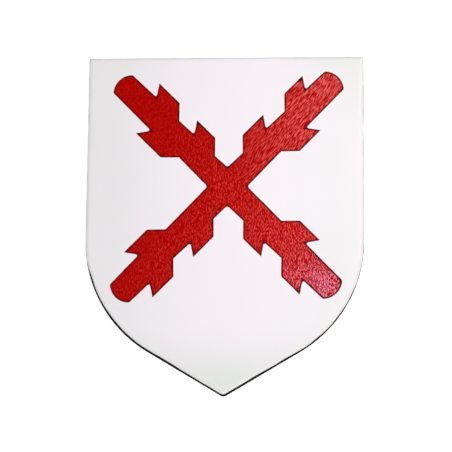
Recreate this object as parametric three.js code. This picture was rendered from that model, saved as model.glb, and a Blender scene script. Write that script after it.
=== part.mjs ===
// A heater shield: one flat wooden board with a rounded front arris, painted on every side.
// Units are millimetres and +Z is up. The board lies on its back, with its painted face upwards and
// its straight top edge towards +Y. The origin is the middle of the underside.

import * as THREE from 'three';

// Driving dimensions of the board.
const WIDTH = 500;
const HEIGHT = 625;
const THICKNESS = 18;

// The outline: straight sides, one arc below each of them, then straight edges that meet in a blunt point.
const SIDE_LENGTH = 343;
const SIDE_ARC_RADIUS = 236;
const POINT_RADIUS = 10;
const CORNER_RADIUS = 3;

// The rim: a wide round on the front and a slight easing of the back edge.
const FRONT_ROUND = 8;
const BACK_EASING = 1;

// The smallest radius that a corner keeps where the round of the rim moves the outline inwards.
const SHARPEST_CORNER = 0.4;

// How finely the curves are divided.
const SIDE_ARC_STEPS = 32;
const POINT_STEPS = 10;
const CORNER_STEPS = 4;
const ROUND_STEPS = 9;

const PAINT = { color: 0xe8e5e8, roughness: 0.45, metalness: 0 };

// The angle through which each side turns before it runs straight to the point. The straight edge
// touches both the side's arc and the point's arc, so its direction follows from the two circles.
function sideTurn() {
  const across = SIDE_ARC_RADIUS - WIDTH / 2;
  const down = HEIGHT - SIDE_LENGTH - POINT_RADIUS;
  const distance = Math.hypot(across, down);
  return Math.atan2(down, across) - Math.acos((SIDE_ARC_RADIUS - POINT_RADIUS) / distance);
}

// Points on an arc, from one angle to another.
function arc(centreX, centreY, radius, from, to, steps) {
  const points = [];
  for (let i = 0; i <= steps; i++) {
    const angle = from + (to - from) * i / steps;
    points.push(new THREE.Vector2(centreX + radius * Math.cos(angle), centreY + radius * Math.sin(angle)));
  }
  return points;
}

// The outline, moved inwards by a distance, as arcs in anticlockwise order with the straight edges
// between them. Every inset has the same number of points, so two of them join point by point.
function outline(inset) {
  const turn = sideTurn();
  const cornerRadius = Math.max(CORNER_RADIUS - inset, SHARPEST_CORNER);
  const cornerX = WIDTH / 2 - inset - cornerRadius;
  const cornerY = HEIGHT / 2 - inset - cornerRadius;
  const sideX = WIDTH / 2 - SIDE_ARC_RADIUS;
  const sideY = HEIGHT / 2 - SIDE_LENGTH;
  const sideRadius = SIDE_ARC_RADIUS - inset;
  const pointY = POINT_RADIUS - HEIGHT / 2;
  const pointRadius = POINT_RADIUS - inset;
  return [
    ...arc(cornerX, cornerY, cornerRadius, 0, Math.PI / 2, CORNER_STEPS),
    ...arc(-cornerX, cornerY, cornerRadius, Math.PI / 2, Math.PI, CORNER_STEPS),
    ...arc(-sideX, sideY, sideRadius, Math.PI, Math.PI + turn, SIDE_ARC_STEPS),
    ...arc(0, pointY, pointRadius, Math.PI + turn, 2 * Math.PI - turn, POINT_STEPS),
    ...arc(sideX, sideY, sideRadius, 2 * Math.PI - turn, 2 * Math.PI, SIDE_ARC_STEPS),
  ];
}

// The rim's profile, from the back to the front: how far in and how high each ring of the outline lies.
function rimProfile() {
  const profile = [
    { inset: BACK_EASING, z: 0 },
    { inset: 0, z: BACK_EASING },
  ];
  for (let i = 0; i <= ROUND_STEPS; i++) {
    const angle = Math.PI / 2 * i / ROUND_STEPS;
    profile.push({
      inset: FRONT_ROUND * (1 - Math.cos(angle)),
      z: THICKNESS - FRONT_ROUND + FRONT_ROUND * Math.sin(angle),
    });
  }
  return profile;
}

// A closed solid: the rings of the rim joined one to the next, with a flat back and a flat front.
function boardGeometry() {
  const rings = rimProfile().map(({ inset, z }) => ({ points: outline(inset), z }));
  const count = rings[0].points.length;
  const positions = rings.flatMap(({ points, z }) => points.flatMap((point) => [point.x, point.y, z]));
  const indices = [];
  for (let ring = 0; ring < rings.length - 1; ring++) {
    for (let i = 0; i < count; i++) {
      const here = ring * count + i;
      const next = ring * count + (i + 1) % count;
      indices.push(here, next, next + count);
      indices.push(here, next + count, here + count);
    }
  }
  const frontStart = (rings.length - 1) * count;
  const back = THREE.ShapeUtils.triangulateShape(rings[0].points, []);
  const front = THREE.ShapeUtils.triangulateShape(rings[rings.length - 1].points, []);
  back.forEach(([a, b, c]) => indices.push(a, c, b));
  front.forEach(([a, b, c]) => indices.push(frontStart + a, frontStart + b, frontStart + c));
  const geometry = new THREE.BufferGeometry();
  geometry.setAttribute('position', new THREE.Float32BufferAttribute(positions, 3));
  geometry.setIndex(indices);
  geometry.computeVertexNormals();
  return geometry;
}

const board = new THREE.Mesh(boardGeometry(), new THREE.MeshStandardMaterial(PAINT));
board.name = 'shield_board';

const shield = new THREE.Group();
shield.add(board);

export default shield;
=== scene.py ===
"""A flat wooden heater shield, painted white with a red ragged saltire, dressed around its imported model.

Lengths are metres. The shield lies on its back: its face is up and its straight top edge is towards +Y.
"""

import math
from collections import namedtuple

import bmesh
import bpy
from bpy.props import FloatProperty, FloatVectorProperty, IntProperty, PointerProperty
from mathutils import Matrix, Vector
from mathutils.geometry import delaunay_2d_cdt
from mathutils.kdtree import KDTree
from mathutils.noise import noise


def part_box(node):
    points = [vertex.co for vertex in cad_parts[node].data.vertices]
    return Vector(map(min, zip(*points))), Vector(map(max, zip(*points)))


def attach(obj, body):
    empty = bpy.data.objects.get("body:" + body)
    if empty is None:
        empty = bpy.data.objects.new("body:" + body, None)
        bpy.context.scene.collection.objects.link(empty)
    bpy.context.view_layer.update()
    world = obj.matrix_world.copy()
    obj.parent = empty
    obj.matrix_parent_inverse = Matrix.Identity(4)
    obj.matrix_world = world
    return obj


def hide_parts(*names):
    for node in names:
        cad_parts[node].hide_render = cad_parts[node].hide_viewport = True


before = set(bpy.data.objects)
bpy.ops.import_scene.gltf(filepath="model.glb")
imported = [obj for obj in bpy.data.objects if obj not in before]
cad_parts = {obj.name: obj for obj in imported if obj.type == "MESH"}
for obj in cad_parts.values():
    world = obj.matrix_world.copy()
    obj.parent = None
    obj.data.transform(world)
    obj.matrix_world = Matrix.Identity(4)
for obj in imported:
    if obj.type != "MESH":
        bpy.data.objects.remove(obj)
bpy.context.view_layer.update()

bl_info = {
    "name": "Painted Heater Shield",
    "version": (1, 0, 0),
    "blender": (4, 5, 0),
    "location": "3D View > Sidebar > Shield",
    "description": "A flat wooden heater shield with a hand-painted ragged saltire",
    "category": "Add Mesh",
}

MM = 0.001
BODY = "root"
BOARD_NODE = "shield_board"
BOARD_LOW, BOARD_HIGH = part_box(BOARD_NODE)
BOARD_SIZE = BOARD_HIGH - BOARD_LOW

# The photograph's frame, in pixels, and the width of the camera's sensor, in millimetres.
PHOTO_SIZE = 452
SENSOR_WIDTH = 36.0

# The paints, as the numbers in the board's "paint" attribute.
WHITE, RED, CONTOUR, EDGE, BACK = range(5)
PAINT_NAMES = ("white_ground", "red_saltire", "dark_contour", "black_edge", "black_back")


# Sizes and colours that a user would change

class BoardSettings(bpy.types.PropertyGroup):
    """The wooden board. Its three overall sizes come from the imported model."""

    width: FloatProperty(
        name="Width", description="Across the straight sides",
        default=BOARD_SIZE.x, unit="LENGTH")
    height: FloatProperty(
        name="Height", description="From the straight top edge to the point",
        default=BOARD_SIZE.y, unit="LENGTH")
    thickness: FloatProperty(
        name="Thickness", description="From the flat back to the face",
        default=BOARD_SIZE.z, unit="LENGTH")
    side_length: FloatProperty(
        name="Side Length", description="Straight part of each side, down from the top edge",
        default=343 * MM, unit="LENGTH")
    side_arc_radius: FloatProperty(
        name="Side Arc Radius", description="Arc below the straight part of each side",
        default=236 * MM, unit="LENGTH")
    point_radius: FloatProperty(
        name="Point Radius", description="Round of the blunt point",
        default=10 * MM, unit="LENGTH")
    corner_radius: FloatProperty(
        name="Corner Radius", description="Round of the two top corners",
        default=3 * MM, unit="LENGTH")
    front_round: FloatProperty(
        name="Front Round", description="Radius of the rounded front arris",
        default=8 * MM, unit="LENGTH")
    back_easing: FloatProperty(
        name="Back Easing", description="Radius of the eased back edge",
        default=1 * MM, unit="LENGTH")
    swell: FloatProperty(
        name="Swell", description="How far the sanded face stands above or below a true plane",
        default=0.12 * MM, unit="LENGTH")
    swell_size: FloatProperty(
        name="Swell Size", description="How wide a low or a high place of the face is",
        default=80 * MM, unit="LENGTH")
    lap_angle: FloatProperty(
        name="Lap Angle", description="How far up the front round the black paint laps",
        default=math.radians(22), subtype="ANGLE")
    lap_rise: FloatProperty(
        name="Lap Rise", description="How much further the black laps along the lower edges",
        default=math.radians(16), subtype="ANGLE")
    lap_rise_start: FloatProperty(
        name="Lap Rise Start", description="How far below the middle the black starts to lap further",
        default=90 * MM, unit="LENGTH")
    lap_waver: FloatProperty(
        name="Lap Waver", description="How unsteady the edge of the black paint is",
        default=math.radians(9), subtype="ANGLE")


class SaltireSettings(bpy.types.PropertyGroup):
    """The painted cross: four ragged arms with a dark contour line."""

    centre: FloatVectorProperty(
        name="Centre", description="Where the arms cross on the face",
        size=2, default=(4.6 * MM, 67.2 * MM), unit="LENGTH")
    crotch: FloatProperty(
        name="Crotch", description="From the centre to where two arms part",
        default=35.2 * MM, unit="LENGTH")
    half_width: FloatProperty(
        name="Half Width", description="From an arm's middle line to its side, at the root of a stub",
        default=23.6 * MM, unit="LENGTH")
    swelling: FloatProperty(
        name="Swelling", description="How much wider an arm is just outside a stub",
        default=1.4 * MM, unit="LENGTH")
    stub_rise: FloatProperty(
        name="Stub Rise", description="How far a lopped stub stands out from the arm",
        default=23.6 * MM, unit="LENGTH")
    stub_reach: FloatProperty(
        name="Stub Reach", description="How far a stub's tip leans out past its notch",
        default=15.4 * MM, unit="LENGTH")
    cap_bulge: FloatProperty(
        name="Cap Bulge", description="How far the round end of an arm stands past its corners",
        default=9.5 * MM, unit="LENGTH")
    line_width: FloatProperty(
        name="Line Width", description="Width of the dark contour line",
        default=2.9 * MM, unit="LENGTH")
    wander: FloatProperty(
        name="Wander", description="How far the hand-painted line strays from its course",
        default=0.9 * MM, unit="LENGTH")
    wander_size: FloatProperty(
        name="Wander Size", description="Length over which the line strays",
        default=34 * MM, unit="LENGTH")
    waver: FloatProperty(
        name="Waver", description="How much each edge of the line shakes",
        default=0.55 * MM, unit="LENGTH")
    waver_size: FloatProperty(
        name="Waver Size", description="Length over which the edges of the line shake",
        default=7 * MM, unit="LENGTH")
    seed: IntProperty(
        name="Seed", description="Another number gives another hand",
        default=7)


class PaintSettings(bpy.types.PropertyGroup):
    """Colours of the paints, and the size of the brush marks in them."""

    white: FloatVectorProperty(
        name="White", description="Ground colour of the face",
        subtype="COLOR", size=3, default=(0.84, 0.805, 0.82))
    # Cream is also the colour of the painted shade of the white towards the point, the right top corner
    # and the sides.
    cream_and_shade: FloatVectorProperty(
        name="Cream", description="Tint of the white where it has yellowed",
        subtype="COLOR", size=3, default=(0.70, 0.735, 0.69))
    # The rim white is painted shade on the rounded arris, which turns away from the light.
    shaded_rim_white: FloatVectorProperty(
        name="Rim White", description="Colour of the white on the rounded arris, where it is handled",
        subtype="COLOR", size=3, default=(0.66, 0.66, 0.62))
    # Deep red and red are the saltire's thick and thin paint. The mix between them also carries painted
    # light: lighter towards the right, painted shade in the marks' grooves and painted highlight on their
    # tops.
    red: FloatVectorProperty(
        name="Red", description="Colour of the saltire where the paint is thin",
        subtype="COLOR", size=3, default=(0.76, 0.030, 0.014))
    deep_red: FloatVectorProperty(
        name="Deep Red", description="Colour of the saltire where the paint is thick",
        subtype="COLOR", size=3, default=(0.365, 0.0004, 0.0))
    # Pink is a painted highlight: glints on the tops of the red marks.
    glint_pink: FloatVectorProperty(
        name="Pink", description="Colour of the saltire where the brush ran dry over the white",
        subtype="COLOR", size=3, default=(0.82, 0.14, 0.13))
    contour: FloatVectorProperty(
        name="Contour", description="Colour of the thin line round the saltire",
        subtype="COLOR", size=3, default=(0.02, 0.0006, 0.001))
    thin_contour: FloatVectorProperty(
        name="Thin Contour", description="Colour of the line where red shows through it",
        subtype="COLOR", size=3, default=(0.26, 0.003, 0.006))
    black: FloatVectorProperty(
        name="Black", description="Colour of the side and the back",
        subtype="COLOR", size=3, default=(0.004, 0.004, 0.004))
    mark_width: FloatProperty(
        name="Mark Width", description="Width of a brush mark in the red paint",
        default=1.6 * MM, unit="LENGTH")
    mark_length: FloatProperty(
        name="Mark Length", description="Length of a brush mark in the red paint",
        default=4.6 * MM, unit="LENGTH")
    mark_relief: FloatProperty(
        name="Mark Relief", description="Height of the upright brush marks in the red paint",
        default=0.42 * MM, unit="LENGTH")
    slant_relief: FloatProperty(
        name="Slant Relief", description="Height of the slanting brush marks in the red paint",
        default=0.3 * MM, unit="LENGTH")


class StageSettings(bpy.types.PropertyGroup):
    """Floor, lights and camera."""

    floor_colour: FloatVectorProperty(
        name="Floor Colour", description="Colour of the plain floor",
        subtype="COLOR", size=3, default=(0.95, 0.95, 0.95))
    floor_glow: FloatProperty(
        name="Floor Glow", description="Light of the lit floor panel, which clears the shadow",
        default=0.5)
    camera_tilt: FloatProperty(
        name="Camera Tilt", description="Towards the foot, from the face's normal",
        default=math.radians(14), subtype="ANGLE")
    camera_turn: FloatProperty(
        name="Camera Turn", description="Towards the right side, from the face's normal",
        default=math.radians(3), subtype="ANGLE")
    camera_roll: FloatProperty(
        name="Camera Roll", description="Turn of the picture about its middle",
        default=math.radians(0.52), subtype="ANGLE")
    camera_distance: FloatProperty(
        name="Camera Distance", description="From the camera to the point that it looks at",
        default=4.5, unit="LENGTH")
    aim: FloatVectorProperty(
        name="Aim", description="Point of the floor in the middle of the picture",
        size=2, default=(1.8 * MM, -1.6 * MM), unit="LENGTH")
    pixels_per_metre: FloatProperty(
        name="Pixels Per Metre", description="Scale of the picture at the aim point",
        default=556.2)


# The board's outline

class Arc(namedtuple("Arc", "centre radius start end")):
    """Part of a circle, from one angle to another."""

    def at(self, part):
        """The point at a part of the way along, from 0 to 1."""
        angle = self.start + (self.end - self.start) * part
        return self.centre + self.radius * Vector((math.cos(angle), math.sin(angle)))

    def length(self):
        return self.radius * (self.end - self.start)


# The spacing of the points along the outline, and the fewest pieces of an arc.
RIM_STEP = 4 * MM
LEAST_ARC_STEPS = 5

# The smallest radius that a corner keeps where the front round moves the outline inwards.
SHARPEST_CORNER = 0.4 * MM


def side_turn(board):
    """The angle through which a side turns before it runs straight to the point."""
    across = board.side_arc_radius - board.width / 2
    down = board.height - board.side_length - board.point_radius
    reach = (board.side_arc_radius - board.point_radius) / math.hypot(across, down)
    return math.atan2(down, across) - math.acos(reach)


def outline_arcs(board, inset):
    """The arcs of the outline, moved inwards, in anticlockwise order."""
    turn = side_turn(board)
    corner = max(board.corner_radius - inset, SHARPEST_CORNER)
    corner_x = board.width / 2 - inset - corner
    corner_y = board.height / 2 - inset - corner
    side_x = board.width / 2 - board.side_arc_radius
    side_y = board.height / 2 - board.side_length
    side = board.side_arc_radius - inset
    point = Vector((0, board.point_radius - board.height / 2))
    return [
        Arc(Vector((corner_x, corner_y)), corner, 0, math.pi / 2),
        Arc(Vector((-corner_x, corner_y)), corner, math.pi / 2, math.pi),
        Arc(Vector((-side_x, side_y)), side, math.pi, math.pi + turn),
        Arc(point, board.point_radius - inset, math.pi + turn, 2 * math.pi - turn),
        Arc(Vector((side_x, side_y)), side, 2 * math.pi - turn, 2 * math.pi),
    ]


def outline(board, inset):
    """Points round the outline, moved inwards. Every inset gives the same number of points."""
    full = outline_arcs(board, 0)
    moved = outline_arcs(board, inset)
    points = []
    for i, (arc, moved_arc) in enumerate(zip(full, moved)):
        steps = max(LEAST_ARC_STEPS, math.ceil(arc.length() / RIM_STEP))
        points += [moved_arc.at(k / steps) for k in range(steps + 1)]
        after = (i + 1) % len(full)
        cuts = math.ceil((full[after].at(0) - arc.at(1)).length / RIM_STEP)
        points += [moved_arc.at(1).lerp(moved[after].at(0), k / cuts) for k in range(1, cuts)]
    return points


# The painted saltire

# A stub is given by its root and its notch, in millimetres along the arm from the crossing.
Stub = namedtuple("Stub", "root notch")

# One arm: the signs of its x and y, its lean from the diagonal towards the upright line in degrees, the
# place of its end corners, the stubs on the side that faces the upright line, and the stub on the other
# side.
Arm = namedtuple("Arm", "x y lean end upright_stubs level_stub")
ARMS = (
    Arm(1, 1, 0.85, 275.6, (Stub(64, 124), Stub(172, 226)), Stub(114, 175)),
    Arm(-1, 1, 0.3, 272.3, (Stub(57, 111), Stub(150, 210)), Stub(101, 172)),
    Arm(-1, -1, 0.8, 273.8, (Stub(60, 119), Stub(162, 222)), Stub(134, 199)),
    Arm(1, -1, 0.25, 267.8, (Stub(66, 119), Stub(163, 217)), Stub(114, 172)),
)
DIAGONAL = 45

# The pieces of an arm's round end.
CAP_STEPS = 10

# How far each kind of corner is rounded, in millimetres: where the line meets the white paint, and
# where it meets the red. Ink gathers in the notches and fills the tips.
Rounding = namedtuple("Rounding", "white_side red_side")
ROUNDINGS = {
    "crotch": Rounding(5.0, 3.0),
    "root": Rounding(2.0, 2.0),
    "shoulder": Rounding(4.0, 3.0),
    "tip": Rounding(0.6, 2.6),
    "notch": Rounding(3.6, 0.8),
    "cap corner": Rounding(6.0, 5.0),
    "cap": Rounding(0, 0),
}

# The part of the contour line's width that lies outside the saltire's named sizes.
LINE_OUTSIDE = 0.2

# The spacing of the points along the line, and the pieces of a rounded corner.
LINE_STEP = 2.2 * MM
ROUND_STEPS = 6

# A rounded corner keeps clear of the middle of its two edges, and a smaller cut than this stays sharp.
MOST_OF_EDGE = 0.45
LEAST_CUT = 0.1 * MM

Corner = namedtuple("Corner", "place kind")


def stub_corners(saltire, stub, side):
    """The four corners of a stub, from the crossing outwards. side is 1 or -1."""
    root = stub.root * MM
    notch = stub.notch * MM
    low = saltire.half_width
    high = low + saltire.stub_rise
    return [
        Corner(Vector((root, side * low)), "root"),
        Corner(Vector((root + saltire.stub_rise, side * high)), "shoulder"),
        Corner(Vector((notch + saltire.stub_reach, side * high)), "tip"),
        Corner(Vector((notch, side * (low + saltire.swelling))), "notch"),
    ]


def cap_corners(saltire, end):
    """The round end of an arm, as an arc between its two corners."""
    half = saltire.half_width
    bulge = saltire.cap_bulge
    radius = (half * half + bulge * bulge) / (2 * bulge)
    spread = math.asin(half / radius)
    middle = end * MM + bulge - radius
    corners = []
    for k in range(CAP_STEPS + 1):
        angle = spread * (2 * k / CAP_STEPS - 1)
        place = Vector((middle + radius * math.cos(angle), radius * math.sin(angle)))
        corners.append(Corner(place, "cap corner" if k in (0, CAP_STEPS) else "cap"))
    return corners


def arm_corners(saltire, arm):
    """One arm's corners in anticlockwise order, on the board's face."""
    corners = stub_corners(saltire, arm.level_stub, -1)
    corners += cap_corners(saltire, arm.end)
    for stub in reversed(arm.upright_stubs):
        corners += reversed(stub_corners(saltire, stub, 1))
    turn = Matrix.Rotation(math.radians(DIAGONAL + arm.lean), 2)
    centre = Vector(saltire.centre)
    placed = []
    for place, kind in corners:
        turned = turn @ place
        placed.append(Corner(centre + Vector((arm.x * turned.x, arm.y * turned.y)), kind))
    return placed if arm.x * arm.y > 0 else placed[::-1]


def saltire_corners(saltire):
    """Every corner of the saltire in anticlockwise order."""
    centre = Vector(saltire.centre)
    corners = []
    for quarter, arm in enumerate(ARMS):
        angle = quarter * math.pi / 2
        crotch = centre + saltire.crotch * Vector((math.cos(angle), math.sin(angle)))
        corners.append(Corner(crotch, "crotch"))
        corners += arm_corners(saltire, arm)
    return corners


def moved_corners(corners, distance):
    """The corners after every edge has moved outwards by a distance."""
    count = len(corners)
    moved = []
    for i, (place, kind) in enumerate(corners):
        before = (place - corners[i - 1].place).normalized()
        after = (corners[(i + 1) % count].place - place).normalized()
        out_before = Vector((before.y, -before.x))
        out_after = Vector((after.y, -after.x))
        mitre = out_before + out_after
        moved.append(Corner(place + mitre * (2 * distance / mitre.length_squared), kind))
    return moved


def rounded_corner(before, place, after, radius):
    """Points round one corner of a loop."""
    back = before - place
    ahead = after - place
    bend = math.pi - back.angle(ahead)
    cut = radius * math.tan(bend / 2)
    cut = min(cut, MOST_OF_EDGE * back.length, MOST_OF_EDGE * ahead.length)
    if cut < LEAST_CUT:
        return [place]
    start = place + back.normalized() * cut
    end = place + ahead.normalized() * cut
    points = []
    for k in range(ROUND_STEPS + 1):
        part = k / ROUND_STEPS
        points.append(start.lerp(place, part).lerp(place.lerp(end, part), part))
    return points


def painted_loop(corners, side):
    """Closely spaced points round the saltire, with its corners rounded as on one side of the line."""
    count = len(corners)
    bends = []
    for i, (place, kind) in enumerate(corners):
        radius = getattr(ROUNDINGS[kind], side) * MM
        before = corners[i - 1].place
        after = corners[(i + 1) % count].place
        bends.append(rounded_corner(before, place, after, radius))
    points = []
    for i, bend in enumerate(bends):
        points += bend
        next_start = bends[(i + 1) % count][0]
        cuts = math.ceil((next_start - bend[-1]).length / LINE_STEP)
        points += [bend[-1].lerp(next_start, k / cuts) for k in range(1, cuts)]
    return points


def contour_loops(saltire):
    """The two edges of the contour line: against the white paint, and against the red."""
    corners = saltire_corners(saltire)
    outer = moved_corners(corners, LINE_OUTSIDE * saltire.line_width)
    inner = moved_corners(corners, (LINE_OUTSIDE - 1) * saltire.line_width)
    return painted_loop(outer, "white_side"), painted_loop(inner, "red_side")


# The board's mesh

# The size of the triangles on the face and the back. No grid point lies nearer to a painted line than
# the clear part of a step.
FACE_STEP = 6 * MM
BACK_STEP = 20 * MM
CLEAR_PART = 0.55

# Vertices nearer than this are joined, and edges that turn by more than this stay sharp.
WELD = 0.001 * MM
SHARP_ANGLE = math.radians(35)

# The number of rings in each band of the rim.
WHITE_STEPS = 8
LAP_STEPS = 3
SIDE_STEPS = 4
EASING_STEPS = 3

# The edge of the black paint wavers over the first length, and rises over the second. The rise starts
# along a line that slopes down to the right, and it is higher on the left than on the right.
LAP_WAVER_SIZE = 30 * MM
LAP_RISE_LENGTH = 30 * MM
LAP_RISE_SLOPE = 0.1
LAP_RISE_LEAN = 1.6

Ring = namedtuple("Ring", "places paint swell")


def grid_points(board, loops, step):
    """A triangular grid over the board, clear of the loops."""
    count = sum(len(loop) for loop in loops)
    tree = KDTree(count)
    for i, place in enumerate(p for loop in loops for p in loop):
        tree.insert(place.to_3d(), i)
    tree.balance()
    row_step = step * math.sqrt(3) / 2
    points = []
    for row in range(1, int(board.height / row_step)):
        y = board.height / 2 - row * row_step
        shift = step / 2 * (row % 2)
        for column in range(int(board.width / step)):
            place = Vector((column * step + shift - board.width / 2, y))
            if tree.find(place.to_3d())[2] > CLEAR_PART * step:
                points.append(place)
    return points


def add_patch(bm, board, loops, step, height, paints):
    """Fills the first loop with triangles that follow the edges of every loop.

    Inside each loop the triangles have that loop's paint. The loops lie one inside the other.
    Returns the new vertices of each loop.
    """
    places = []
    rings = []
    for loop in loops:
        rings.append(range(len(places), len(places) + len(loop)))
        places += loop
    places += grid_points(board, loops, step)
    convex_hull = 0
    found = delaunay_2d_cdt(
        places, [], [list(ring) for ring in rings], convex_hull, WELD / 10, True)
    places, _, triangles, place_sources, _, triangle_sources = found
    paint = bm.faces.layers.int["paint"]
    verts = {}
    inside = [(triangle, around) for triangle, around in zip(triangles, triangle_sources) if around]
    for triangle, around in inside:
        for i in triangle:
            if i not in verts:
                verts[i] = bm.verts.new((*places[i], height))
        face = bm.faces.new([verts[i] for i in triangle])
        face[paint] = paints[max(around)]
    return [
        [vert for i, vert in verts.items() if any(source in ring for source in place_sources[i])]
        for ring in rings
    ]


def add_face(bm, board, saltire, rim):
    """The flat painted face: white paint, contour line and red paint."""
    outer, inner = contour_loops(saltire)
    before = len(bm.verts)
    loops = add_patch(
        bm, board, (rim, outer, inner), FACE_STEP, board.thickness, (WHITE, CONTOUR, RED))
    freehand = bm.verts.layers.float["freehand"]
    swell = bm.verts.layers.float["swell"]
    for vert in list(bm.verts)[before:]:
        vert[swell] = 1
    for vert in loops[1] + loops[2]:
        vert[freehand] = 1


def lap_angle(board, place):
    """How far up the front round the black paint laps at a place of the rim."""
    below_start = -place.y - LAP_RISE_SLOPE * place.x - board.lap_rise_start
    rise = min(max(below_start / LAP_RISE_LENGTH, 0), 1)
    leftwards = 1 - LAP_RISE_LEAN * place.x / board.width
    waver = noise(place.to_3d() / LAP_WAVER_SIZE)
    return board.lap_angle + board.lap_rise * rise * leftwards + board.lap_waver * waver


def rim_rings(board):
    """The rings from the face down to the back. Each has the paint of the band above it."""
    full = outline(board, 0)
    face_edge = outline(board, board.front_round)
    laps = [lap_angle(board, place) for place in full]

    def ring_at(insets, heights, paint, swell):
        places = []
        for place, inner, inset, height in zip(full, face_edge, insets, heights):
            flat = place.lerp(inner, inset / board.front_round)
            places.append((flat.x, flat.y, height))
        return Ring(places, paint, swell)

    def round_ring(angles, paint, swell):
        low = board.thickness - board.front_round
        insets = [board.front_round * (1 - math.cos(a)) for a in angles]
        heights = [low + board.front_round * math.sin(a) for a in angles]
        return ring_at(insets, heights, paint, swell)

    count = len(full)
    upright = math.pi / 2
    rings = [round_ring([upright] * count, WHITE, 1)]
    for k in range(1, WHITE_STEPS + 1):
        part = k / WHITE_STEPS
        rings.append(round_ring([upright + (lap - upright) * part for lap in laps], WHITE, 1 - part))
    for k in range(1, LAP_STEPS + 1):
        rings.append(round_ring([lap * (1 - k / LAP_STEPS) for lap in laps], EDGE, 0))
    side_top = board.thickness - board.front_round
    for k in range(1, SIDE_STEPS + 1):
        height = side_top + (board.back_easing - side_top) * k / SIDE_STEPS
        rings.append(ring_at([0] * count, [height] * count, EDGE, 0))
    for k in range(1, EASING_STEPS + 1):
        angle = upright * k / EASING_STEPS
        inset = board.back_easing * (1 - math.cos(angle))
        height = board.back_easing * (1 - math.sin(angle))
        rings.append(ring_at([inset] * count, [height] * count, EDGE, 0))
    return rings


def add_rim(bm, rings):
    """The front round, the side and the eased back edge."""
    paint = bm.faces.layers.int["paint"]
    swell = bm.verts.layers.float["swell"]
    above = None
    for ring in rings:
        here = [bm.verts.new(place) for place in ring.places]
        for vert in here:
            vert[swell] = ring.swell
        if above:
            for i in range(len(here)):
                face = bm.faces.new((above[i - 1], above[i], here[i], here[i - 1]))
                face[paint] = ring.paint
        above = here


def add_back(bm, board, ring):
    """The flat back."""
    loop = [Vector(place[:2]) for place in ring.places]
    add_patch(bm, board, (loop,), BACK_STEP, 0, (BACK,))


def board_mesh(board, saltire):
    """The whole board as one closed mesh, which carries the paints as an attribute."""
    bm = bmesh.new()
    bm.faces.layers.int.new("paint")
    bm.verts.layers.float.new("freehand")
    bm.verts.layers.float.new("swell")
    rings = rim_rings(board)
    add_rim(bm, rings)
    add_face(bm, board, saltire, outline(board, board.front_round))
    add_back(bm, board, rings[-1])
    bmesh.ops.remove_doubles(bm, verts=bm.verts, dist=WELD)
    bmesh.ops.recalc_face_normals(bm, faces=bm.faces)
    for face in bm.faces:
        face.smooth = True
    for edge in bm.edges:
        edge.smooth = edge.calc_face_angle(0) < SHARP_ANGLE
    mesh = bpy.data.meshes.new("painted_board")
    bm.to_mesh(mesh)
    bm.free()
    return mesh


# Node trees

def add_node(tree, kind, inputs=None, **settings):
    """Adds a node, sets its options, and sets or links its inputs by name or number."""
    node = tree.nodes.new(kind)
    for name, value in settings.items():
        setattr(node, name, value)
    for name, value in (inputs or {}).items():
        if isinstance(value, bpy.types.NodeSocket):
            tree.links.new(value, node.inputs[name])
        else:
            node.inputs[name].default_value = value
    return node


def add_math(tree, operation, *values, clamp=False):
    """A Math node's result."""
    inputs = dict(enumerate(values))
    return add_node(tree, "ShaderNodeMath", inputs, operation=operation, use_clamp=clamp).outputs[0]


def add_vector_math(tree, operation, *values):
    """A Vector Math node's result."""
    inputs = dict(enumerate(values))
    return add_node(tree, "ShaderNodeVectorMath", inputs, operation=operation).outputs[0]


def add_scale(tree, vector, factor):
    """A vector times a number."""
    inputs = {"Vector": vector, "Scale": factor}
    return add_node(tree, "ShaderNodeVectorMath", inputs, operation="SCALE").outputs[0]


def add_noise(tree, vector, detail, **settings):
    """A Noise Texture with features about one unit wide."""
    inputs = {"Vector": vector, "Scale": 1.0, "Detail": detail}
    return add_node(tree, "ShaderNodeTexNoise", inputs, **settings)


def add_mix(tree, factor, first, second):
    """A mix of two numbers."""
    inputs = {"Factor": factor, 2: first, 3: second}
    return add_node(tree, "ShaderNodeMix", inputs, data_type="FLOAT").outputs[0]


def add_colour_mix(tree, factor, first, second):
    """A mix of two colours. Each is a socket, or a colour's three numbers."""
    inputs = {"Factor": factor}
    for number, colour in zip((6, 7), (first, second)):
        inputs[number] = colour if isinstance(colour, bpy.types.NodeSocket) else (*colour, 1)
    return add_node(tree, "ShaderNodeMix", inputs, data_type="RGBA").outputs[2]


def add_range(tree, value, low, high, to_low=0.0, to_high=1.0):
    """A smooth step of a value from one range to another."""
    inputs = {"Value": value, "From Min": low, "From Max": high, "To Min": to_low, "To Max": to_high}
    return add_node(tree, "ShaderNodeMapRange", inputs, interpolation_type="SMOOTHSTEP").outputs[0]


def new_group(name, kind, inputs, outputs):
    """A node group with its sockets, and the socket of each input by name."""
    tree = bpy.data.node_groups.new(name, kind)
    for socket, socket_type in inputs.items():
        tree.interface.new_socket(socket, in_out="INPUT", socket_type=socket_type)
    for socket, socket_type in outputs.items():
        tree.interface.new_socket(socket, in_out="OUTPUT", socket_type=socket_type)
    start = tree.nodes.new("NodeGroupInput")
    return tree, start.outputs


# The freehand line and the sanded face

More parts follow.
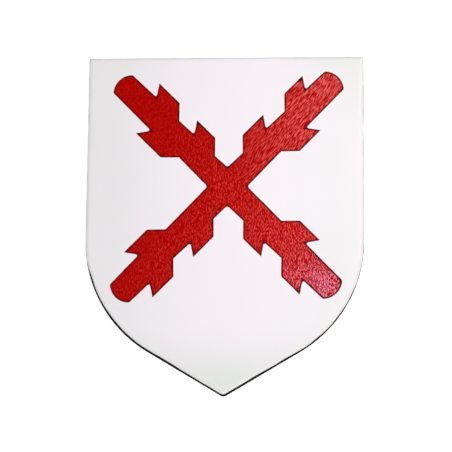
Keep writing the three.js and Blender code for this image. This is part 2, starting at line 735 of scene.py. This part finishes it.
def hand_work_tree():
    """Strays the painted line, swells the face a little and sets each region's paint."""
    numbers = ("Wander", "Wander Size", "Waver", "Waver Size", "Swell", "Swell Size", "Seed")
    inputs = {"Geometry": "NodeSocketGeometry"}
    inputs.update({name: "NodeSocketFloat" for name in numbers})
    inputs.update({name: "NodeSocketMaterial" for name in PAINT_NAMES})
    tree, given = new_group("hand_work", "GeometryNodeTree", inputs, {"Geometry": "NodeSocketGeometry"})
    tree.is_modifier = True
    place = add_node(tree, "GeometryNodeInputPosition").outputs[0]

    def attribute(name, data_type):
        node = add_node(tree, "GeometryNodeInputNamedAttribute", {"Name": name}, data_type=data_type)
        return next(socket for socket in node.outputs if socket.enabled)

    def stray(distance, size):
        scaled = add_scale(tree, place, add_math(tree, "DIVIDE", 1.0, size))
        texture = add_noise(tree, scaled, 1.0, noise_dimensions="4D")
        tree.links.new(given["Seed"], texture.inputs["W"])
        centred = add_vector_math(tree, "SUBTRACT", texture.outputs["Color"], (0.5, 0.5, 0.5))
        return add_scale(tree, centred, distance)

    wander = stray(given["Wander"], given["Wander Size"])
    waver = stray(given["Waver"], given["Waver Size"])
    line = add_vector_math(tree, "MULTIPLY", add_vector_math(tree, "ADD", wander, waver), (1, 1, 0))
    line = add_scale(tree, line, attribute("freehand", "FLOAT"))
    swell = stray(given["Swell"], given["Swell Size"])
    face = add_vector_math(tree, "MULTIPLY", swell, (0, 0, 1))
    face = add_scale(tree, face, attribute("swell", "FLOAT"))
    offset = add_vector_math(tree, "ADD", line, face)
    moved = add_node(tree, "GeometryNodeSetPosition", {"Geometry": given["Geometry"], "Offset": offset})
    made = add_node(tree, "GeometryNodeRealizeInstances", {"Geometry": moved.outputs[0]}).outputs[0]
    paint = attribute("paint", "INT")
    for number, name in enumerate(PAINT_NAMES):
        chosen = add_node(
            tree, "FunctionNodeCompare", {"A": paint, "B": number}, data_type="INT", operation="EQUAL")
        made = add_node(
            tree, "GeometryNodeSetMaterial",
            {"Geometry": made, "Selection": chosen.outputs[0], "Material": given[name]}).outputs[0]
    add_node(tree, "NodeGroupOutput", {"Geometry": made})
    return tree


def apply_tree(obj, tree, values):
    """Runs a geometry tree on an object and keeps the result as its plain mesh."""
    modifier = obj.modifiers.new(tree.name, "NODES")
    modifier.node_group = tree
    for item in tree.interface.items_tree:
        if item.in_out == "INPUT" and item.name in values:
            modifier[item.identifier] = values[item.name]
    depsgraph = bpy.context.evaluated_depsgraph_get()
    mesh = bpy.data.meshes.new_from_object(obj.evaluated_get(depsgraph), depsgraph=depsgraph)
    obj.modifiers.remove(modifier)
    obj.data = mesh


# Paints

UPRIGHT = math.radians(90)
ALONG_ARM = math.radians(56)

# The brush's course wanders over this length.
DRIFT_SIZE = 62.5 * MM

# The height of the long streaks against that of the short dabs, and how many streaks and changes of
# tone go to one dab, along and across the stroke.
STREAK_HEIGHT = 0.16
STREAKS_PER_DAB = (0.15, 0.8, 0.8)
TONES_PER_DAB = (0.2, 0.3, 0.3)

# About half of the brush marks lie above this height.
MIDDLE_HEIGHT = 0.58

# Brush marks: the direction of the strokes, their width and length, and how far they stray.
Strokes = namedtuple("Strokes", "direction width length drift")
WHITE_STROKES = Strokes(UPRIGHT, 3.5 * MM, 70 * MM, 14 * MM)
BACK_STROKES = Strokes(UPRIGHT, 2.5 * MM, 90 * MM, 8 * MM)
RED_DRIFT = 9 * MM

# The slanting marks in the red are narrower and longer than the upright ones, by these factors. They
# take over within this width, to the right of the crossing and above it.
SLANT_WIDTH = 0.65
SLANT_LENGTH = 2.2
TAKE_OVER = 40 * MM

# An uneven coat: the size of its patches, and the contrast between them.
Coat = namedtuple("Coat", "patch_size contrast")
WHITE_COAT = Coat(160 * MM, 1.6)
RED_COAT = Coat(50 * MM, 1.4)
CONTOUR_COAT = Coat(18 * MM, 3.0)
EDGE_COAT = Coat(30 * MM, 2.0)
BACK_COAT = Coat(90 * MM, 2.0)

# How rough each paint is, from the smoothest to the roughest places.
WHITE_ROUGHNESS = (0.40, 0.56)
RED_ROUGHNESS = (0.20, 0.28)
BACK_ROUGHNESS = (0.38, 0.58)

# How high the brush marks stand in each paint, and how high the board's layers show through the black.
WHITE_RELIEF = 0.05 * MM
CONTOUR_RELIEF = 0.15 * MM
BACK_RELIEF = 0.25 * MM
LAYER_RELIEF = 0.12 * MM

# How often the grain of the board's layers repeats in a metre: along the board, and through it.
LAYER_GRAIN = (20, 20, 700)

# How much lighter the black is where its coat is thinnest.
LIGHTER_EDGE = 3
LIGHTER_BACK = 4

# A change over the board: where it starts and ends, and what it grows from and to.
Change = namedtuple("Change", "start end low high")

# The swell is full on the face and fades out round the arris, where the white turns to the rim's painted
# shade.
RIM_CHANGE = Change(1.0, 0.1, 0, 1)

# Painted shade turns the white to cream towards the point, along the diagonal to the right top corner, and
# to both sides; random patches yellow it too.
POINT_SHADE = Change(-180 * MM, -310 * MM, 0, 0.95)
CORNER_SHADE = Change(360 * MM, 560 * MM, 0, 0.45)
SIDE_SHADE = Change(60 * MM, 210 * MM, 0, 0.4)
PATCH_YELLOWING = 0.15

# The red is lighter towards the right and a little towards the foot, as painted light, and the painted
# shade and highlight of its marks show more there.
RIGHT_LIGHT = Change(-213 * MM, 167 * MM, 0, 1)
RIGHT_LIGHT_SLOPE = -0.35
RIGHT_LIGHT_TONE = 0.12
PATCH_THINNING = 0.06
MARK_CONTRAST = (0.8, 4.0)

# The tops of the red marks carry painted pink glints: a little on the right, and more and more along the
# slanting arm.
GLINT_ON_RIGHT = 0.08
GLINT_ALONG_ARM = (0.12, 0.8)
ARM_END = 190 * MM

# How sharply the painted glints and the varnish set in with the height of a mark.
GLINT_SHARPNESS = 8.0
VARNISH_SHARPNESS = 4.0


def brush_marks_group():
    """The marks that a brush leaves in paint: their height, and a slower change of tone along them."""
    tree, given = new_group(
        "brush_marks", "ShaderNodeTree",
        {
            "Vector": "NodeSocketVector",
            "Direction": "NodeSocketFloat",
            "Width": "NodeSocketFloat",
            "Length": "NodeSocketFloat",
            "Drift": "NodeSocketFloat",
        },
        {"Height": "NodeSocketFloat", "Tone": "NodeSocketFloat"})
    course = add_noise(tree, add_scale(tree, given["Vector"], 1 / DRIFT_SIZE), 1.0)
    course = add_vector_math(tree, "SUBTRACT", course.outputs["Color"], (0.5, 0.5, 0.5))
    drifted = add_vector_math(tree, "ADD", given["Vector"], add_scale(tree, course, given["Drift"]))
    back_turn = add_math(tree, "MULTIPLY", given["Direction"], -1.0)
    turned = add_node(
        tree, "ShaderNodeVectorRotate", {"Vector": drifted, "Angle": back_turn}, rotation_type="Z_AXIS")
    size = add_node(
        tree, "ShaderNodeCombineXYZ", {"X": given["Length"], "Y": given["Width"], "Z": given["Width"]})
    marks = add_vector_math(tree, "DIVIDE", turned.outputs[0], size.outputs[0])
    dabs = add_noise(tree, marks, 0.0)
    streaks = add_noise(tree, add_vector_math(tree, "MULTIPLY", marks, STREAKS_PER_DAB), 1.0)
    tone = add_noise(tree, add_vector_math(tree, "MULTIPLY", marks, TONES_PER_DAB), 2.0)
    height = add_math(
        tree, "MULTIPLY_ADD", streaks.outputs["Fac"], STREAK_HEIGHT, dabs.outputs["Fac"])
    add_node(tree, "NodeGroupOutput", {"Height": height, "Tone": tone.outputs["Fac"]})
    return tree


def uneven_coat_group():
    """Broad patches where a coat of paint is thicker or thinner, from 0 to 1."""
    tree, given = new_group(
        "uneven_coat", "ShaderNodeTree",
        {"Vector": "NodeSocketVector", "Patch Size": "NodeSocketFloat", "Contrast": "NodeSocketFloat"},
        {"Thinness": "NodeSocketFloat"})
    scale = add_math(tree, "DIVIDE", 1.0, given["Patch Size"])
    patches = add_node(
        tree, "ShaderNodeTexNoise",
        {"Vector": given["Vector"], "Scale": scale, "Detail": 4.0, "Roughness": 0.6})
    centred = add_math(tree, "SUBTRACT", patches.outputs["Fac"], 0.5)
    spread = add_math(tree, "MULTIPLY_ADD", centred, given["Contrast"], 0.5, clamp=True)
    add_node(tree, "NodeGroupOutput", {"Thinness": spread})
    return tree


def add_strokes(tree, groups, place, strokes):
    """Brush marks at a place: their height and tone."""
    inputs = {
        "Vector": place,
        "Direction": strokes.direction,
        "Width": strokes.width,
        "Length": strokes.length,
        "Drift": strokes.drift,
    }
    return add_node(tree, "ShaderNodeGroup", inputs, node_tree=groups["brush_marks"]).outputs


def add_coat(tree, groups, place, coat):
    """How thin an uneven coat is at a place."""
    inputs = {"Vector": place, "Patch Size": coat.patch_size, "Contrast": coat.contrast}
    return add_node(tree, "ShaderNodeGroup", inputs, node_tree=groups["uneven_coat"]).outputs[0]


def new_paint(name, **constants):
    """A material with its shader, and the board's own coordinates. Constants are the shader's."""
    material = bpy.data.materials.new(name)
    material.use_nodes = True
    tree = material.node_tree
    tree.nodes.clear()
    shader = add_node(tree, "ShaderNodeBsdfPrincipled", constants)
    add_node(tree, "ShaderNodeOutputMaterial", {"Surface": shader.outputs[0]})
    coordinates = add_node(tree, "ShaderNodeTexCoord").outputs["Object"]
    return material, shader, coordinates


def link_inputs(tree, shader, inputs):
    """Links what changes over the surface to a shader's inputs."""
    for name, socket in inputs.items():
        tree.links.new(socket, shader.inputs[name])


def add_bump(tree, height, distance):
    """The normal of a surface with a height on it."""
    return add_node(tree, "ShaderNodeBump", {"Height": height, "Distance": distance}).outputs[0]


def white_paint(paints, groups):
    """The white ground: a satin coat with faint brush marks and cream patches, and painted shade at the
    sides, point, right top corner and arris.
    """
    material, shader, place = new_paint("white_paint")
    tree = material.node_tree
    marks = add_strokes(tree, groups, place, WHITE_STROKES)
    x, y, _ = add_node(tree, "ShaderNodeSeparateXYZ", {"Vector": place}).outputs
    diagonal = add_math(tree, "ADD", x, y)
    from_middle = add_math(tree, "ABSOLUTE", x)
    # yellowed holds the random cream patches and the painted shade towards the point, the right top corner
    # and the sides.
    yellowed = add_math(tree, "MULTIPLY", add_coat(tree, groups, place, WHITE_COAT), PATCH_YELLOWING)
    changes = ((y, POINT_SHADE), (diagonal, CORNER_SHADE), (from_middle, SIDE_SHADE))
    for distance, change in changes:
        yellowed = add_math(tree, "ADD", yellowed, add_range(tree, distance, *change), clamp=True)
    colour = add_colour_mix(tree, yellowed, paints.white, paints.cream_and_shade)
    on_face = add_node(tree, "ShaderNodeAttribute", attribute_name="swell").outputs["Fac"]
    on_rim = add_range(tree, on_face, *RIM_CHANGE)
    link_inputs(tree, shader, {
        "Base Color": add_colour_mix(tree, on_rim, colour, paints.shaded_rim_white),
        "Roughness": add_mix(tree, marks["Tone"], *WHITE_ROUGHNESS),
        "Normal": add_bump(tree, marks["Height"], WHITE_RELIEF),
    })
    return material


def red_paint(paints, saltire, groups):
    """The red saltire: varnished paint with strong brush marks, upright but slanting in one arm. Its
    colour carries painted light: lighter to the right, painted shade and highlight on the marks, and
    painted pink glints.
    """
    material, shader, place = new_paint(
        "red_paint", **{"Specular IOR Level": 0.05, "Coat Roughness": 0.17})
    tree = material.node_tree
    x, y, _ = add_node(tree, "ShaderNodeSeparateXYZ", {"Vector": place}).outputs

    upright = add_strokes(
        tree, groups, place, Strokes(UPRIGHT, paints.mark_width, paints.mark_length, RED_DRIFT))
    slanting = add_strokes(
        tree, groups, place,
        Strokes(ALONG_ARM, SLANT_WIDTH * paints.mark_width, SLANT_LENGTH * paints.mark_length, RED_DRIFT))
    centre_x, centre_y = saltire.centre
    right = add_range(tree, x, centre_x, centre_x + TAKE_OVER)
    upper = add_range(tree, y, centre_y - TAKE_OVER / 2, centre_y + TAKE_OVER / 2)
    in_arm = add_math(tree, "MULTIPLY", right, upper)
    height = add_mix(tree, in_arm, upright["Height"], slanting["Height"])
    tone = add_mix(tree, in_arm, upright["Tone"], slanting["Tone"])
    relief = add_mix(tree, in_arm, paints.mark_relief, paints.slant_relief)
    marks = add_math(tree, "SUBTRACT", height, MIDDLE_HEIGHT)

    # Painted light: the red grows lighter towards the right and a little towards the foot.
    aslant = add_math(tree, "MULTIPLY_ADD", y, RIGHT_LIGHT_SLOPE, x)
    lit_right = add_range(tree, aslant, *RIGHT_LIGHT)
    coat = add_coat(tree, groups, place, RED_COAT)
    # Painted shade in the grooves of the marks and painted highlight on their tops, stronger towards the
    # right, added to the coat's random thin patches.
    mark_shade_and_highlight = add_math(tree, "MULTIPLY", marks, add_mix(tree, lit_right, *MARK_CONTRAST))
    coat_and_mark_shading = add_math(tree, "MULTIPLY_ADD", coat, PATCH_THINNING, mark_shade_and_highlight)
    thinness_and_light = add_math(tree, "MULTIPLY_ADD", lit_right, RIGHT_LIGHT_TONE, coat_and_mark_shading, clamp=True)
    colour = add_colour_mix(tree, thinness_and_light, paints.deep_red, paints.red)

    # dry is the painted pink glint on the tops of the marks, strongest along the slanting arm.
    tops = add_math(tree, "MULTIPLY", marks, GLINT_SHARPNESS, clamp=True)
    along_arm = add_range(tree, x, centre_x, ARM_END, *GLINT_ALONG_ARM)
    on_right = add_math(tree, "MULTIPLY", lit_right, GLINT_ON_RIGHT)
    dry = add_math(tree, "MULTIPLY", tops, add_mix(tree, in_arm, on_right, along_arm))
    link_inputs(tree, shader, {
        "Base Color": add_colour_mix(tree, dry, colour, paints.glint_pink),
        "Roughness": add_mix(tree, tone, *RED_ROUGHNESS),
        "Coat Weight": add_math(tree, "MULTIPLY_ADD", marks, VARNISH_SHARPNESS, 0.5, clamp=True),
        "Normal": add_bump(tree, height, relief),
    })
    return material


def contour_paint(paints, groups):
    """The contour line: thin dark paint that lets some red through."""
    material, shader, place = new_paint(
        "contour_paint", **{"Roughness": 0.35, "Specular IOR Level": 0.05})
    tree = material.node_tree
    coat = add_coat(tree, groups, place, CONTOUR_COAT)
    marks = add_strokes(
        tree, groups, place, Strokes(UPRIGHT, paints.mark_width, paints.mark_length, RED_DRIFT))
    link_inputs(tree, shader, {
        "Base Color": add_colour_mix(tree, coat, paints.contour, paints.thin_contour),
        "Normal": add_bump(tree, marks["Height"], CONTOUR_RELIEF),
    })
    return material


def edge_paint(paints, groups):
    """The black side: dull paint, through which the layers of the board show faintly."""
    material, shader, place = new_paint("edge_paint", **{"Roughness": 0.8, "Specular IOR Level": 0.02})
    tree = material.node_tree
    layers = add_noise(tree, add_vector_math(tree, "MULTIPLY", place, LAYER_GRAIN), 1.0).outputs["Fac"]
    worn = add_math(tree, "MULTIPLY", add_coat(tree, groups, place, EDGE_COAT), layers)
    link_inputs(tree, shader, {
        "Base Color": add_colour_mix(tree, worn, paints.black, LIGHTER_EDGE * Vector(paints.black)),
        "Normal": add_bump(tree, layers, LAYER_RELIEF),
    })
    return material


def back_paint(paints, groups):
    """The black back: one coat, brushed from head to foot."""
    material, shader, place = new_paint("back_paint", **{"Specular IOR Level": 0.4})
    tree = material.node_tree
    marks = add_strokes(tree, groups, place, BACK_STROKES)
    coat = add_coat(tree, groups, place, BACK_COAT)
    link_inputs(tree, shader, {
        "Base Color": add_colour_mix(tree, coat, paints.black, LIGHTER_BACK * Vector(paints.black)),
        "Roughness": add_mix(tree, coat, *BACK_ROUGHNESS),
        "Normal": add_bump(tree, marks["Height"], BACK_RELIEF),
    })
    return material


def board_paints(paints, saltire):
    """The five paints, in the order of their numbers."""
    groups = {"brush_marks": brush_marks_group(), "uneven_coat": uneven_coat_group()}
    return (
        white_paint(paints, groups),
        red_paint(paints, saltire, groups),
        contour_paint(paints, groups),
        edge_paint(paints, groups),
        back_paint(paints, groups),
    )


class SHIELD_OT_board(bpy.types.Operator):
    """Build the painted board and put it in place of the plain one"""

    bl_idname = "shield.board"
    bl_label = "Painted Board"
    bl_options = {"REGISTER", "UNDO"}

    def execute(self, context):
        scene = context.scene
        board = scene.shield_board
        saltire = scene.shield_saltire
        piece = bpy.data.objects.new("painted_board", board_mesh(board, saltire))
        scene.collection.objects.link(piece)
        values = {
            "Wander": saltire.wander,
            "Wander Size": saltire.wander_size,
            "Waver": saltire.waver,
            "Waver Size": saltire.waver_size,
            "Swell": board.swell,
            "Swell Size": board.swell_size,
            "Seed": float(saltire.seed),
        }
        values.update(zip(PAINT_NAMES, board_paints(scene.shield_paints, saltire)))
        apply_tree(piece, hand_work_tree(), values)
        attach(piece, BODY)
        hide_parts(BOARD_NODE)
        return {"FINISHED"}


# Floor, lights and camera

# Each light: name, place, size, power in watts, and colour. All of them shine at the middle of the
# shield. Only the first one casts shadows.
Lamp = namedtuple("Lamp", "name place size power colour")
LAMPS = (
    Lamp("key_window", (0.80, 0.45, 1.50), 0.40, 16.8, (1.0, 0.92, 0.95)),
    Lamp("glow", (0.17, 0.17, 1.50), 0.12, 1.15, (0.38, 0.62, 1.0)),
    Lamp("head_right_softbox", (2.0, 1.15, 1.22), 1.4, 17, (1.0, 0.98, 0.98)),
    Lamp("head_left_softbox", (-2.0, 1.15, 1.22), 1.4, 26, (0.98, 0.98, 1.0)),
    Lamp("foot_left_softbox", (-1.15, -2.0, 1.22), 1.4, 27, (0.98, 0.98, 1.0)),
    Lamp("foot_right_softbox", (1.15, -2.0, 1.22), 1.4, 29, (1.0, 0.98, 0.98)),
)

# Half of the floor's width, and the strength of the room's own light.
FLOOR_HALF = 4.0
ROOM_LIGHT = 0.01


def add_floor(stage):
    """A plain pale floor."""
    signs = ((-1, -1), (1, -1), (1, 1), (-1, 1))
    corners = [(x * FLOOR_HALF, y * FLOOR_HALF, 0) for x, y in signs]
    mesh = bpy.data.meshes.new("floor")
    mesh.from_pydata(corners, [], [(0, 1, 2, 3)])
    floor = bpy.data.objects.new("floor", mesh)
    bpy.context.scene.collection.objects.link(floor)
    material, shader, _ = new_paint("floor_paint", Roughness=0.9)
    shader.inputs["Base Color"].default_value = (*stage.floor_colour, 1)
    shader.inputs["Emission Color"].default_value = (*stage.floor_colour, 1)
    shader.inputs["Emission Strength"].default_value = stage.floor_glow
    mesh.materials.append(material)


def add_lamps():
    """Soft studio lights, and a little light from the room."""
    for lamp in LAMPS:
        light = bpy.data.lights.new(lamp.name, "AREA")
        light.shape = "SQUARE"
        light.size = lamp.size
        light.energy = lamp.power
        light.color = lamp.colour
        light.use_shadow = lamp is LAMPS[0]
        obj = bpy.data.objects.new(lamp.name, light)
        obj.location = lamp.place
        obj.rotation_euler = Vector(lamp.place).to_track_quat("Z", "Y").to_euler()
        bpy.context.scene.collection.objects.link(obj)
    world = bpy.data.worlds.new("room")
    world.use_nodes = True
    background = world.node_tree.nodes["Background"]
    background.inputs["Color"].default_value = (1, 1, 1, 1)
    background.inputs["Strength"].default_value = ROOM_LIGHT
    bpy.context.scene.world = world
    bpy.context.scene.view_settings.view_transform = "Standard"


def add_camera(stage):
    """The camera at the photograph's viewing angle."""
    tilt = stage.camera_tilt
    turn = stage.camera_turn
    towards = Vector((math.sin(turn), -math.sin(tilt) * math.cos(turn), math.cos(tilt) * math.cos(turn)))
    right = Vector((0, 1, 0)).cross(towards).normalized()
    right.rotate(Matrix.Rotation(stage.camera_roll, 3, towards))
    up = towards.cross(right)
    data = bpy.data.cameras.new("camera")
    data.sensor_width = SENSOR_WIDTH
    data.lens = SENSOR_WIDTH * stage.pixels_per_metre * stage.camera_distance / PHOTO_SIZE
    camera = bpy.data.objects.new("camera", data)
    place = Vector((*stage.aim, 0)) + towards * stage.camera_distance
    camera.matrix_world = Matrix.Translation(place) @ Matrix((right, up, towards)).transposed().to_4x4()
    bpy.context.scene.collection.objects.link(camera)
    bpy.context.scene.camera = camera


class SHIELD_OT_stage(bpy.types.Operator):
    """Lay the floor, hang the lights and set up the camera"""

    bl_idname = "shield.stage"
    bl_label = "Stage"
    bl_options = {"REGISTER", "UNDO"}

    def execute(self, context):
        stage = context.scene.shield_stage
        add_floor(stage)
        add_lamps()
        add_camera(stage)
        return {"FINISHED"}


class SHIELD_PT_panel(bpy.types.Panel):
    """The shield's operators and settings"""

    bl_idname = "SHIELD_PT_panel"
    bl_label = "Heater Shield"
    bl_space_type = "VIEW_3D"
    bl_region_type = "UI"
    bl_category = "Shield"

    def draw(self, context):
        layout = self.layout
        for operator in OPERATORS:
            layout.operator(operator.bl_idname)
        for name in SETTINGS:
            box = layout.box()
            settings = getattr(context.scene, name)
            for setting in settings.bl_rna.properties:
                if not setting.is_readonly and setting.identifier != "name":
                    box.prop(settings, setting.identifier)


SETTINGS = {
    "shield_board": BoardSettings,
    "shield_saltire": SaltireSettings,
    "shield_paints": PaintSettings,
    "shield_stage": StageSettings,
}
OPERATORS = (SHIELD_OT_board, SHIELD_OT_stage)
CLASSES = (*SETTINGS.values(), *OPERATORS, SHIELD_PT_panel)


def register():
    for cls in CLASSES:
        bpy.utils.register_class(cls)
    for name, cls in SETTINGS.items():
        setattr(bpy.types.Scene, name, PointerProperty(type=cls))


def unregister():
    for name in SETTINGS:
        delattr(bpy.types.Scene, name)
    for cls in reversed(CLASSES):
        bpy.utils.unregister_class(cls)


def main():
    register()
    bpy.ops.shield.board()
    bpy.ops.shield.stage()


if __name__ == "__main__":
    main()
